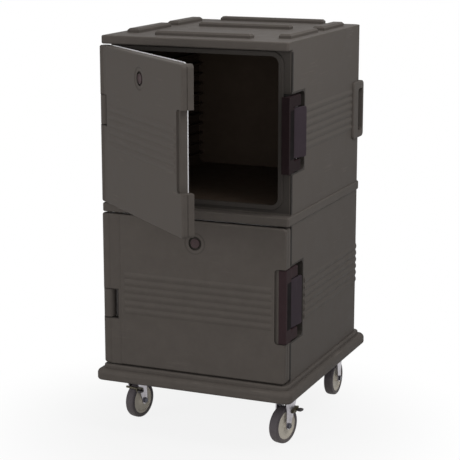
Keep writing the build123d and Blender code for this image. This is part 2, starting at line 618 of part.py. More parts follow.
def place_casters():
    """Swivel casters with brakes at the front, fixed casters at the rear."""
    fork, pedal = swivel_fork(), brake_pedal()
    inner_brake = {"front_left": True, "front_right": False}
    for name, side in (("front_left", -1), ("front_right", 1)):
        spot = Pos(side * FRONT_PIVOT[0], FRONT_PIVOT[1], 0)
        turned = spot * Rot(0, 0, HEADING[name])
        parts[name + "_caster_plate"] = spot * swivel_plate()
        parts[name + "_fork"] = turned * (mirror(fork, Plane.YZ) if inner_brake[name] else fork)
        parts[name + "_axle"] = turned * axle(TRAIL)
        parts[name + "_hub"] = turned * wheel_hub(TRAIL)
        parts[name + "_tyre"] = turned * tyre(TRAIL)
        parts[name + "_brake"] = turned * (mirror(pedal, Plane.YZ) if inner_brake[name] else pedal)
    for name, side in (("rear_left", -1), ("rear_right", 1)):
        spot = Pos(side * REAR_WHEEL[0], REAR_WHEEL[1], 0)
        parts[name + "_fork"] = spot * rigid_fork()
        parts[name + "_axle"] = spot * axle(0)
        parts[name + "_hub"] = spot * wheel_hub(0)
        parts[name + "_tyre"] = spot * tyre(0)
    parts["caster_bolts"] = caster_bolts()


parts["bumper_base"] = bumper_base()
parts["base_foam"] = base_core(0.3)
screws = place_stage("lower") + place_stage("upper")
parts["latch_screws"] = Part() + screws
parts["right_handle"] = push_handle()
parts["left_handle"] = mirror(push_handle(), Plane.YZ)
place_casters()

# The shared frame has its origin on the floor, below the middle of the whole cart as it stands.
fronts = [shape.bounding_box().min.Y for shape in parts.values()]
rears = [shape.bounding_box().max.Y for shape in parts.values()]
to_frame = Pos(0, -(min(fronts) + max(rears)) / 2, 0)
os.makedirs("parts", exist_ok=True)
for node, shape in parts.items():
    export_step(to_frame * shape, "parts/" + node + ".step")
print("moved in y by", to_frame.position.Y)
print("pieces", len(parts))
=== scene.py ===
"""Insulated food pan cart.

The finishes, the turned and moulded small pieces and the studio round the CAD frame. Lengths are in
metres, in the frame of the CAD model: X to the right, Y to the rear and Z up, with the floor at 0.
"""

import json

import bpy
import numpy as np
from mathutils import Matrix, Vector


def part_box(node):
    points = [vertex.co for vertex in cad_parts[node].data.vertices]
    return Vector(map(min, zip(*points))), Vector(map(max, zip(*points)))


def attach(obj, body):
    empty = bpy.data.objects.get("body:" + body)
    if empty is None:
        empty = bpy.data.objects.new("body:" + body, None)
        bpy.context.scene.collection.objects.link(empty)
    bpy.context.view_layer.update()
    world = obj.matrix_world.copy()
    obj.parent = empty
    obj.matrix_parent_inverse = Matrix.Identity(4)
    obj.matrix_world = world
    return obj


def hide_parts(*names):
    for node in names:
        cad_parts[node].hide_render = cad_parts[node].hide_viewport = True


bl_info = {
    "name": "Insulated food pan cart",
    "version": (1, 0, 0),
    "blender": (4, 5, 0),
    "location": "View3D > Sidebar > Food cart",
    "description": "Dresses the packed frame of a two-compartment insulated food pan cart",
    "category": "Object",
}

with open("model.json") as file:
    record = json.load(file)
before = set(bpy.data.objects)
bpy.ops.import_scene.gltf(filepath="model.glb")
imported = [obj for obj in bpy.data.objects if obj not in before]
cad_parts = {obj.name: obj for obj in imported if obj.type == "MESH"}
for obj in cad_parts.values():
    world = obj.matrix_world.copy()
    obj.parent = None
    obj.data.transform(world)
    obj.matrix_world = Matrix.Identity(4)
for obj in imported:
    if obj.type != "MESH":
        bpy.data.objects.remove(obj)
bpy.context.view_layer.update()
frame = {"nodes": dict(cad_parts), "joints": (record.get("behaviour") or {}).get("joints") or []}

STAGES = ("lower", "upper")
WHEELS = ("front_left", "front_right", "rear_left", "rear_right")
SWIVELS = ("front_left", "front_right")
MM = 0.001
UP = np.array((0.0, 0.0, 1.0))


def tint(code):
    """Linear colour of a six-digit sRGB code."""
    srgb = np.array([int(code[i:i + 2], 16) for i in (0, 2, 4)]) / 255
    linear = np.where(srgb <= 0.04045, srgb / 12.92, ((srgb + 0.055) / 1.055) ** 2.4)
    return tuple(float(c) for c in linear)


def scaled(colour, share):
    """Colour times a share, held to what a surface can reflect."""
    return tuple(min(1, share * c) for c in colour)


def colour_prop(label, words, code):
    """Colour that a user may change."""
    return bpy.props.FloatVectorProperty(
        name=label, description=words, subtype="COLOR", size=3, min=0.0, max=1.0,
        default=tint(code))


def length_prop(label, words, millimetres):
    """Length that a user may change."""
    return bpy.props.FloatProperty(
        name=label, description=words, unit="LENGTH", default=millimetres * MM)


class CartColours(bpy.types.PropertyGroup):
    """Colours of the finishes."""

    cabinet: colour_prop("Cabinet", "Moulded skins, doors, base and handles", "4c4743")
    liner: colour_prop("Liner", "Inside of the compartments", "3f352d")
    foam: colour_prop("Foam", "Insulation inside the walls", "cdbf94")
    latch: colour_prop("Latch", "Links and plates of the draw latches", "302527")
    lever: colour_prop("Lever", "Pull levers of the draw latches", "362f34")
    vent: colour_prop("Vent cap", "Round steam vent caps", "423738")
    gasket: colour_prop("Gasket", "Door seals", "c9c8ca")
    steel: colour_prop("Stainless steel", "Pins and screws", "b9b8b6")
    zinc: colour_prop("Zinc plate", "Caster forks, plates and bolts", "aeabb0")
    axle: colour_prop("Axle steel", "Dark axle bolts of the casters", "4b4b52")
    # The brake colour is darker than the olive passivated steel itself: painted shade for the
    # pedals under the base
    brake: colour_prop("Brake steel", "Passivated brake pedals", "423d2d")
    pedal: colour_prop("Pedal sleeve", "Soft sleeve on the foot tab", "2a2628")
    wheel: colour_prop("Wheel centre", "Moulded wheel centres", "c6bfb2")
    tyre: colour_prop("Tyre", "Solid tyres", "4e494c")


class CartSizes(bpy.types.PropertyGroup):
    """Sizes of the pieces that are made here."""

    tyre_ring: length_prop("Tyre ring", "Height of the moulded ring on a sidewall", 0.5)
    wheel_lip: length_prop("Wheel lip", "Height of the rim of a wheel centre over its web", 2.4)
    vent_dish: length_prop("Vent dish", "Sink of a vent cap's face over its full radius", 1.6)
    gasket_lip: length_prop("Gasket lip", "Depth of the groove between two gasket lips", 1.6)
    screw_slot: length_prop("Screw slot", "Width of the cross slot in a latch screw", 1.3)
    sleeve_wall: length_prop("Sleeve wall", "Wall of the sleeve on a foot tab", 2.2)


# The frame

def joint(name):
    """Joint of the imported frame."""
    for entry in frame["joints"]:
        if entry["name"] == name:
            return entry
    raise ValueError("the frame has no joint " + name)


def each_stage(*suffixes):
    """Node names of both compartments."""
    return [stage + "_" + suffix for stage in STAGES for suffix in suffixes]


def finish_nodes(names, material):
    """Give CAD nodes a finish."""
    for name in names:
        for entry in frame["nodes"][name].material_slots:
            entry.material = material


def stage_lift(stage):
    """Height of a compartment above the lower one."""
    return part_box(stage + "_shell")[0].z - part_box("lower_shell")[0].z


def open_angle(hinge):
    """Turn about Z, in radians, from closed to where a door stands.

    The axis points down and the range starts at the closed door, so the two signs cancel."""
    return np.radians(hinge["range_deg"][0])


def on_door(stage, points):
    """Carry points of the closed lower door to where the door of a stage stands.

    Each point is taken relative to the hinge line, turned about it by the angle at which the door
    stands open, and lifted by the pitch of the compartments."""
    hinge = joint(stage + "_door_hinge")
    angle = open_angle(hinge)
    x, y = points[:, 0] - hinge["pos_m"][0], points[:, 1] - hinge["pos_m"][1]
    turned = np.empty_like(points)
    turned[:, 0] = hinge["pos_m"][0] + x * np.cos(angle) - y * np.sin(angle)
    turned[:, 1] = hinge["pos_m"][1] + x * np.sin(angle) + y * np.cos(angle)
    turned[:, 2] = points[:, 2] + stage_lift(stage)
    return turned


# Surfaces

def round_angles(columns):
    """Angles of a full circle in equal steps."""
    return np.linspace(0, 2 * np.pi, columns, endpoint=False)


def blunted(wave, power):
    """Cosine or sine of a superellipse: its size to a power, with its own sign."""
    return np.sign(wave) * np.abs(wave) ** power


def grid_faces(rows, columns, wrap_rows):
    """Quads of a grid whose columns close round, and whose rows close too if asked."""
    last = rows if wrap_rows else rows - 1
    i, j = np.meshgrid(np.arange(last), np.arange(columns), indexing="ij")
    a, b = i * columns + j, i * columns + (j + 1) % columns
    c, d = ((i + 1) % rows) * columns + (j + 1) % columns, ((i + 1) % rows) * columns + j
    return np.stack((a, b, c, d), axis=-1).reshape(-1, 4)


def pole_faces(ring_start, columns, pole):
    """Triangles from one ring of a grid to a pole."""
    j = np.arange(columns)
    ends = ring_start + j, ring_start + (j + 1) % columns, np.full(columns, pole)
    return np.stack(ends, axis=-1)


def capped_faces(rows, columns):
    """Faces of a grid closed at its first and last row by two poles, which follow the grid."""
    count = rows * columns
    return [grid_faces(rows, columns, False),
            pole_faces(0, columns, count)[:, ::-1],
            pole_faces(count - columns, columns, count + 1)]


def closed_volume(points, faces):
    """Signed volume of a closed surface: the sum of tetrahedra from the origin to each triangle."""
    first, volume = points[faces[:, 0]], 0.0
    for k in range(1, faces.shape[1] - 1):
        across = np.cross(points[faces[:, k]], points[faces[:, k + 1]])
        volume += np.einsum("ij,ij->", first, across) / 6
    return volume


def make_piece(name, points, face_sets, material, body, crease=40):
    """Put closed surfaces into one mesh, turned outwards, with its finish, body and slot."""
    if sum(closed_volume(points, faces) for faces in face_sets) < 0:
        face_sets = [faces[:, ::-1] for faces in face_sets]
    faces = [face for faces in face_sets for face in faces.tolist()]
    mesh = bpy.data.meshes.new(name)
    mesh.from_pydata(points.tolist(), [], faces)
    mesh.polygons.foreach_set("use_smooth", np.ones(len(faces), bool))
    mesh.set_sharp_from_angle(angle=np.radians(crease))
    mesh.materials.append(material)
    piece = bpy.data.objects.new(name, mesh)
    bpy.context.scene.collection.objects.link(piece)
    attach(piece, body)
    return piece


def turned_ring(profile, centre, axis, columns=72):
    """Ring about a level axis: each (offset, radius) of a closed profile becomes a circle."""
    along = np.array(axis, float) / np.linalg.norm(axis)
    side = np.cross(along, UP)
    angle = round_angles(columns)
    circle = np.cos(angle)[:, None] * UP + np.sin(angle)[:, None] * side
    points = profile[:, None, :1] * along + profile[:, None, 1:] * circle[None] + np.array(centre)
    return points.reshape(-1, 3), grid_faces(len(profile), columns, True)


def mirrored(half):
    """Closed profile from its half with positive offsets, outer rim last."""
    return np.concatenate((half, half[::-1] * (-1, 1)))


def round_over(x0, r0, x1, r1, bulge, count=8):
    """Curve between two profile points that bulges like a superellipse quarter.

    The offset follows the cosine, and the radius the sine, of an angle, each to the same power."""
    t = np.linspace(0, np.pi / 2, count)
    x = x1 + (x0 - x1) * np.cos(t) ** bulge
    r = r0 + (r1 - r0) * np.sin(t) ** bulge
    return np.stack((x, r), axis=-1)


# Shader nodes

NODE_COLUMN, NODE_ROW = 220, 260
# Sockets of a Mix node that mixes colours
MIX_SHARE, MIX_FIRST, MIX_SECOND, MIX_COLOUR = 0, 6, 7, 2


def arrange(tree):
    """Lay nodes out in rows and columns, each to the left of all that it feeds."""
    depth = {node.name: 0 for node in tree.nodes}
    settled = False
    while not settled:
        settled = True
        for link in tree.links:
            behind = depth[link.to_node.name] + 1
            if depth[link.from_node.name] < behind:
                depth[link.from_node.name], settled = behind, False
    filled = {}
    for node in tree.nodes:
        column = depth[node.name]
        row = filled.get(column, 0)
        node.location = (-NODE_COLUMN * column, -NODE_ROW * row)
        filled[column] = row + 1


def feed(tree, node, operands):
    """Give inputs of a node, by name or number, a socket or a value each."""
    for key, operand in operands.items():
        if isinstance(operand, bpy.types.NodeSocket):
            tree.links.new(operand, node.inputs[key])
        else:
            node.inputs[key].default_value = operand


def add_node(tree, kind, operands, **settings):
    """Add a node with its settings and operands."""
    node = tree.nodes.new(kind)
    for key, value in settings.items():
        setattr(node, key, value)
    feed(tree, node, operands)
    return node


def maths(tree, operation, first, second=0.0):
    """Result of a Math node; each operand is a socket or a number."""
    node = add_node(tree, "ShaderNodeMath", {0: first, 1: second}, operation=operation)
    return node.outputs[0]


def vector_maths(tree, operation, first, second=(0.0, 0.0, 0.0)):
    """Outputs of a Vector Math node; each operand is a socket or three numbers."""
    node = add_node(tree, "ShaderNodeVectorMath", {0: first, 1: second}, operation=operation)
    return node.outputs


def axes(tree, vector):
    """The X, Y and Z of a vector."""
    return add_node(tree, "ShaderNodeSeparateXYZ", {0: vector}).outputs


def noise(tree, vector, **operands):
    """Noise over a vector."""
    return add_node(tree, "ShaderNodeTexNoise", {"Vector": vector, **operands}).outputs[0]


def ramp(tree, value, low, high, out_low=0.0, out_high=1.0):
    """Smooth step of a value from low to high."""
    operands = {"Value": value, "From Min": low, "From Max": high,
                "To Min": out_low, "To Max": out_high}
    node = add_node(tree, "ShaderNodeMapRange", operands, interpolation_type="SMOOTHSTEP")
    return node.outputs["Result"]


def apart_from(tree, value, middle):
    """How far a value lies from a middle, on either side."""
    return maths(tree, "ABSOLUTE", maths(tree, "SUBTRACT", value, middle))


def mix_colours(tree, first, second, share):
    """Mix of two colours; each is a socket or three numbers."""
    operands = {MIX_SHARE: share}
    for key, colour in ((MIX_FIRST, first), (MIX_SECOND, second)):
        operands[key] = colour if isinstance(colour, bpy.types.NodeSocket) else (*colour, 1)
    return add_node(tree, "ShaderNodeMix", operands, data_type="RGBA").outputs[MIX_COLOUR]


def new_group(name, inputs, outputs):
    """Empty shader node group with named sockets; returns it, its inputs and its outputs."""
    group = bpy.data.node_groups.new(name, "ShaderNodeTree")
    for label, kind, value in inputs:
        socket = group.interface.new_socket(name=label, in_out="INPUT", socket_type=kind)
        if value is not None:
            socket.default_value = value
    for label in outputs:
        group.interface.new_socket(name=label, in_out="OUTPUT", socket_type="NodeSocketFloat")
    source, sink = group.nodes.new("NodeGroupInput"), group.nodes.new("NodeGroupOutput")
    return group, source.outputs, sink.inputs


def grain_group():
    """Moulded skin: a fine grain over a slow wave of the wall, and a mottled tone."""
    group, given, wanted = new_group(
        "moulded_grain",
        (("Vector", "NodeSocketVector", None),
         ("Grain", "NodeSocketFloat", 400.0),
         ("Wave", "NodeSocketFloat", 9.0)),
        ("Height", "Tone"))
    wave_height, cloud_share, fleck_share = 6.0, 0.65, 0.35
    grain = noise(group, given["Vector"], Scale=given["Grain"], Detail=3.0, Roughness=0.6)
    wave = noise(group, given["Vector"], Scale=given["Wave"], Detail=1.0, Roughness=0.4)
    cloud = noise(group, given["Vector"], Scale=26.0, Detail=5.0, Roughness=0.65)
    slow = maths(group, "MULTIPLY", wave, wave_height)
    group.links.new(maths(group, "ADD", grain, slow), wanted["Height"])
    fleck = maths(group, "MULTIPLY", grain, fleck_share)
    tone = maths(group, "ADD", maths(group, "MULTIPLY", cloud, cloud_share), fleck)
    group.links.new(tone, wanted["Tone"])
    return group


def scuff_group():
    """Rub marks: streaks of a stretched noise, kept only inside the patches of a slower one."""
    group, given, wanted = new_group(
        "rub_marks",
        (("Vector", "NodeSocketVector", None),
         ("Streak", "NodeSocketVector", (6.0, 6.0, 160.0)),
         ("Cover", "NodeSocketFloat", 0.55)),
        ("Mask",))
    stretched = vector_maths(group, "MULTIPLY", given["Vector"], given["Streak"])["Vector"]
    streak = noise(group, stretched, Scale=1.0, Detail=4.0, Roughness=0.7)
    patch = noise(group, given["Vector"], Scale=7.0, Detail=2.0)
    streak_edge, patch_edge = (0.54, 0.68), (-0.04, 0.1)
    lines = ramp(group, streak, *streak_edge)
    spots = ramp(group, maths(group, "SUBTRACT", patch, given["Cover"]), *patch_edge)
    group.links.new(maths(group, "MULTIPLY", lines, spots), wanted["Mask"])
    return group


def dust_group():
    """Floor dust: thick near the floor and gone at the top, broken by a noise."""
    group, given, wanted = new_group(
        "floor_dust",
        (("Vector", "NodeSocketVector", None), ("Top", "NodeSocketFloat", 0.2)),
        ("Mask",))
    blotch = noise(group, given["Vector"], Scale=60.0, Detail=4.0, Roughness=0.7)
    share = maths(group, "DIVIDE", axes(group, given["Vector"])["Z"], given["Top"])
    kept = ramp(group, maths(group, "SUBTRACT", 1.0, share), 0.0, 1.0)
    group.links.new(maths(group, "MULTIPLY", kept, blotch), wanted["Mask"])
    return group


GROUP_MAKERS = {"moulded_grain": grain_group, "rub_marks": scuff_group, "floor_dust": dust_group}


def shared_group(name):
    """Node group by name, built on first use."""
    found = bpy.data.node_groups.get(name)
    if not found:
        found = GROUP_MAKERS[name]()
        arrange(found)
    return found


# Finishes

TONE_RANGE = (0.3, 0.7)
GLOSS_SPREAD = 0.07


def object_point(tree):
    """Object coordinates, from the one node of a material that gives them."""
    found = tree.nodes.get("coords")
    if not found:
        found = tree.nodes.new("ShaderNodeTexCoord")
        found.name = "coords"
    return found.outputs["Object"]


def place_group(tree, name, **values):
    """Outputs of a shared node group that a material uses on Object coordinates."""
    operands = {"Vector": object_point(tree), **values}
    return add_node(tree, "ShaderNodeGroup", operands, node_tree=shared_group(name)).outputs


def paint(tree, colour):
    """Give the shader of a material its colour, and lay its nodes out."""
    tree.links.new(colour, tree.nodes["Principled BSDF"].inputs["Base Color"])
    arrange(tree)


def base_material(name, colour, *, grain, wave, bump, spread, rough, specular=0.5, metallic=0.0):
    """Moulded or cast surface with grain, mottling and uneven gloss.

    Returns the material, its node tree and its colour, which is painted on already."""
    material = bpy.data.materials.new(name)
    material.use_nodes = True
    material.diffuse_color = (*colour, 1)
    tree = material.node_tree
    skin = place_group(tree, "moulded_grain", Grain=grain, Wave=wave)
    mottle = ramp(tree, skin["Tone"], *TONE_RANGE)
    mottled = mix_colours(tree, scaled(colour, 1 - spread), scaled(colour, 1 + spread), mottle)
    gloss = ramp(tree, skin["Tone"], *TONE_RANGE, rough - GLOSS_SPREAD, rough + GLOSS_SPREAD)
    relief = add_node(tree, "ShaderNodeBump",
                      {"Strength": 1.0, "Distance": bump, "Height": skin["Height"]})
    feed(tree, tree.nodes["Principled BSDF"],
         {"Specular IOR Level": specular, "Metallic": metallic, "Roughness": gloss,
          "Normal": relief.outputs["Normal"]})
    paint(tree, mottled)
    return material, tree, mottled


def rubbed(tree, colour, plain, *, paler, amount, **marks):
    """Colour with rub marks that are paler than the plain colour under it."""
    mask = place_group(tree, "rub_marks", **marks)["Mask"]
    return mix_colours(tree, colour, scaled(plain, paler), maths(tree, "MULTIPLY", mask, amount))


def dusted(tree, colour, dust, *, top, amount):
    """Colour with floor dust of an sRGB code over it, up to a height."""
    mask = place_group(tree, "floor_dust", Top=top)["Mask"]
    return mix_colours(tree, colour, tint(dust), maths(tree, "MULTIPLY", mask, amount))


# Painted shade, as shares of the cabinet colour: in the latch trays, in the gap beside each door,
# and in the vent wells and round the hinge notches on the doors
TRAY_PAINTED_SHADE, GAP_SHADE, DOOR_PAINTED_SHADE = 0.45, 0.15, 0.3

# A vent's painted shade: how far its well lies behind the cap's face, the edge of the painted shade
# in the well, and the rim of its dish, round which a faint painted shading line lies
WELL_BEHIND = 5.5 * MM
WELL_SHADE_EDGE, WELL_SHADE_STRENGTH = (22.5 * MM, 25.5 * MM), 0.85
DISH_RIM = 35.5 * MM
RIM_SHADE_EDGE, RIM_SHADE_STRENGTH = (1.2 * MM, 4 * MM), 0.32

# The painted shade of the gap beside a door: how far the skin's front edge lies behind the liner's,
# where the shade starts inside the door's edge, and where it ends behind the skin's front edge
SKIN_BEHIND = 6 * MM
GAP_SHADE_INSIDE = (4 * MM, 3 * MM)
GAP_SHADE_REAR, GAP_SHADE_STRENGTH = (9 * MM, 13 * MM), 0.9

# The notch for a knuckle: its reach from the hinge line, its play in height, and the edge of the
# painted shade round it
NOTCH_REACH = 38 * MM
NOTCH_PLAY = 1 * MM
NOTCH_SHADE_EDGE, NOTCH_SHADE_STRENGTH = (1.5 * MM, 4 * MM), 0.8


class CART_OT_cabinet(bpy.types.Operator):
    """Finish the moulded skins, doors, latch trays, hinge knuckles and handles, with painted shade
    in the trays, beside the doors, in the vent wells and round the hinge notches
    """

    bl_idname = "food_cart.cabinet"
    bl_label = "Cabinet and doors"

    def execute(self, context):
        cabinet = context.scene.food_cart_colours.cabinet
        plain = self.skin("cabinet_plastic", cabinet)[0]
        finish_nodes(each_stage("door_panel", "hinge_knuckle"), plain)
        finish_nodes(("left_handle", "right_handle"), plain)
        # The latch trays take a darker copy of the cabinet colour: painted shade of the pocket
        # round each latch
        dark = self.skin("tray_plastic", scaled(cabinet, TRAY_PAINTED_SHADE))[0]
        finish_nodes(each_stage("latch_tray"), dark)
        # The skins get painted shade of the gap beside each door
        material, tree, colour = self.skin("shell_plastic", cabinet)
        paint(tree, mix_colours(tree, colour, scaled(cabinet, GAP_SHADE), self.door_gap_shade(tree)))
        finish_nodes(each_stage("shell"), material)
        material, tree, colour = self.skin("door_plastic", cabinet)
        # The doors get painted shade in each vent's well and round each knuckle's notch
        painted_shade = self.vent_well_shade(tree)
        for stage in STAGES:
            painted_shade = maths(tree, "MAXIMUM", painted_shade, self.hinge_notch_shade(tree, stage))
        paint(tree, mix_colours(tree, colour, scaled(cabinet, DOOR_PAINTED_SHADE), painted_shade))
        finish_nodes(each_stage("door_shell"), material)
        return {"FINISHED"}

    @staticmethod
    def skin(name, cabinet):
        """Grained plastic with pale rub marks; returns the material, tree and colour."""
        material, tree, colour = base_material(
            name, cabinet, grain=420.0, wave=7.0, bump=0.12 * MM, spread=0.07, rough=0.58,
            specular=0.05)
        worn = rubbed(tree, colour, cabinet, paler=1.9, amount=0.35, Cover=0.6)
        paint(tree, worn)
        return material, tree, worn

    @staticmethod
    def vent_well_shade(tree):
        """Painted shade: strong in the recessed well of each vent, and a faint line round the rim
        of its dish.
        """
        low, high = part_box("lower_vent_cap")
        middle = np.array([[(low.x + high.x) / 2, low.y + WELL_BEHIND, (low.z + high.z) / 2]])
        painted_shade = 0.0
        for stage in STAGES:
            place = on_door(stage, middle)[0]
            away = vector_maths(tree, "DISTANCE", object_point(tree), place)["Value"]
            well = ramp(tree, away, *WELL_SHADE_EDGE, WELL_SHADE_STRENGTH, 0.0)
            off = apart_from(tree, away, DISH_RIM)
            rim = ramp(tree, off, *RIM_SHADE_EDGE, RIM_SHADE_STRENGTH, 0.0)
            painted_shade = maths(tree, "MAXIMUM", painted_shade, maths(tree, "MAXIMUM", well, rim))
        return painted_shade

    @staticmethod
    def door_gap_shade(tree):
        """Painted shade of the gap beside each door, down the skins' front edge on the latch side,
        over the height of each door.
        """
        point = axes(tree, object_point(tree))
        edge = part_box("lower_liner")[0].y + SKIN_BEHIND
        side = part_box("lower_door_shell")[1].x
        outer = ramp(tree, point["X"], *(side - inside for inside in GAP_SHADE_INSIDE))
        ahead = ramp(tree, point["Y"], *(edge + rear for rear in GAP_SHADE_REAR), GAP_SHADE_STRENGTH, 0.0)
        level = 0.0
        for stage in STAGES:
            low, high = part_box(stage + "_door_shell")
            half = (high.z - low.z) / 2
            off = apart_from(tree, point["Z"], (low.z + high.z) / 2)
            level = maths(tree, "MAXIMUM", level, ramp(tree, off, half, half + MM, 1.0, 0.0))
        return maths(tree, "MULTIPLY", level, maths(tree, "MULTIPLY", outer, ahead))

    @staticmethod
    def hinge_notch_shade(tree, stage):
        """Painted shade of the gap on a door round the notch for its knuckle, by distance outside
        the notch.

        The distance is the larger of how far a point lies past the notch along the door, and past
        it in height."""
        hinge = joint(stage + "_door_hinge")
        angle = open_angle(hinge)
        low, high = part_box(stage + "_hinge_knuckle")
        middle = (*hinge["pos_m"][:2], (low.z + high.z) / 2)
        offset = vector_maths(tree, "SUBTRACT", object_point(tree), middle)["Vector"]
        door = (np.cos(angle), np.sin(angle), 0.0)
        along = vector_maths(tree, "DOT_PRODUCT", offset, door)["Value"]
        height = maths(tree, "ABSOLUTE", axes(tree, offset)["Z"])
        above = maths(tree, "SUBTRACT", height, (high.z - low.z) / 2 + NOTCH_PLAY)
        beside = maths(tree, "SUBTRACT", along, NOTCH_REACH)
        outside = maths(tree, "MAXIMUM", above, beside)
        return ramp(tree, outside, *NOTCH_SHADE_EDGE, NOTCH_SHADE_STRENGTH, 0.0)


class CART_OT_base(bpy.types.Operator):
    """Finish the bumper base, with rub marks along its bumper and dust underneath"""

    bl_idname = "food_cart.base"
    bl_label = "Bumper base"

    def execute(self, context):
        cabinet = context.scene.food_cart_colours.cabinet
        material, tree, colour = base_material(
            "bumper_plastic", cabinet, grain=380.0, wave=7.0, bump=0.14 * MM, spread=0.08,
            rough=0.58, specular=0.05)
        worn = rubbed(tree, colour, cabinet, paler=1.9, amount=0.45,
                      Streak=(5.0, 5.0, 220.0), Cover=0.5)
        paint(tree, dusted(tree, worn, "7a746c", top=0.24, amount=0.25))
        finish_nodes(("bumper_base",), material)
        return {"FINISHED"}


# Where the finish of the door frame gives way to that of the inside, and the share of the cabinet
# colour that the frame takes as painted shade
FRAME_EDGE = (6 * MM, 14 * MM)
FRAME_PAINTED_SHADE = 0.5


class CART_OT_liner(bpy.types.Operator):
    """Finish the liners and pan rails; the door frame is a darker copy of the cabinet colour,
    painted shade
    """

    bl_idname = "food_cart.liner"
    bl_label = "Liners and pan rails"

    def execute(self, context):
        colours = context.scene.food_cart_colours
        material, tree, colour = base_material(
            "liner_plastic", colours.liner, grain=420.0, wave=8.0, bump=0.1 * MM, spread=0.1,
            rough=0.5, specular=0.08)
        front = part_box("lower_liner")[0].y
        depth = axes(tree, object_point(tree))["Y"]
        face = ramp(tree, depth, *(front + edge for edge in FRAME_EDGE), 1.0, 0.0)
        paint(tree, mix_colours(tree, colour, scaled(colours.cabinet, FRAME_PAINTED_SHADE), face))
        finish_nodes(each_stage("liner", "rails"), material)
        return {"FINISHED"}


class CART_OT_foam(bpy.types.Operator):
    """Finish the insulation inside the walls and doors"""

    bl_idname = "food_cart.foam"
    bl_label = "Insulation"

    def execute(self, context):
        colours = context.scene.food_cart_colours
        material = base_material(
            "insulation_foam", colours.foam, grain=900.0, wave=30.0, bump=0.3 * MM, spread=0.12,
            rough=0.85)[0]
        finish_nodes(each_stage("foam", "door_foam") + ["base_foam"], material)
        return {"FINISHED"}


# A link: the share of the latch colour, with the upper link as a darker copy for painted shade; the
# painted shade of the gap behind its front strip, and the front and end edges of that shade
LINK_SHADE_SHARES = (("lower", 1.0), ("upper", 0.5))
LINK_GAP_SHADE = 0.12
LINK_GAP_FRONT = (9 * MM, 11 * MM)
LINK_GAP_END = (78 * MM, 80 * MM)


class CART_OT_latches(bpy.types.Operator):
    """Finish the levers, links and plates of the draw latches"""

    bl_idname = "food_cart.latches"
    bl_label = "Draw latches"

    def execute(self, context):
        colours = context.scene.food_cart_colours
        finish_nodes(each_stage("latch_base"), self.worn("latch_plastic", colours.latch)[0])
        finish_nodes(each_stage("latch_lever"), self.worn("lever_plastic", colours.lever)[0])
        # Painted shade: the gap between each link's strip and its lever, and the upper link as a
        # darker copy
        gap_shade_colour = scaled(colours.latch, LINK_GAP_SHADE)
        for stage, share in LINK_SHADE_SHARES:
            link = stage + "_latch_link"
            material, tree, colour = self.worn(
                stage + "_link_plastic", scaled(colours.latch, share))
            paint(tree, mix_colours(tree, colour, gap_shade_colour, self.link_gap_shade(tree, link)))
            finish_nodes([link], material)
        return {"FINISHED"}

    @staticmethod
    def worn(name, latch):
        """Latch plastic with rub marks along its height; returns the material, tree and colour."""
        material, tree, colour = base_material(
            name, latch, grain=600.0, wave=18.0, bump=0.06 * MM, spread=0.1, rough=0.5,
            specular=0.01)
        marked = rubbed(tree, colour, latch, paler=2.2, amount=0.3,
                        Streak=(120.0, 120.0, 9.0), Cover=0.52)
        paint(tree, marked)
        return material, tree, marked

    @staticmethod
    def link_gap_shade(tree, link):
        """Mask of the painted shade of the gap on a link: 1 behind its front strip and between its
        two arms.
        """
        low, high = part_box(link)
        point = axes(tree, object_point(tree))
        behind = ramp(tree, point["Y"], *(low.y + edge for edge in LINK_GAP_FRONT))
        off = apart_from(tree, point["Z"], (low.z + high.z) / 2)
        return maths(tree, "MULTIPLY", behind, ramp(tree, off, *LINK_GAP_END, 1.0, 0.0))


# A vent cap from the middle of its face round to its stem: share of the radius, millimetres back
CAP_PROFILE = np.array((
    (0.12, 1.7), (0.28, 1.75), (0.44, 1.85), (0.58, 2.0), (0.7, 2.1),
    (0.76, 1.9), (0.8, 1.1), (0.86, 0.3), (0.93, 0.02), (0.98, 0.4), (1.0, 1.2),
    (1.0, 4.7), (0.98, 5.2), (0.7, 5.25), (0.51, 5.3), (0.5, 22.0), (0.47, 22.6)))
# Rows of its disc, and the share of the dish by which the middle sinks while the edge rises
CAP_DISC_ROWS = 5
CAP_DISH_SHARE = 0.3
CAP_POLE_RISE = 0.1 * MM
GRIP_DEPTH, GRIP_RIPPLES = 0.25 * MM, 24


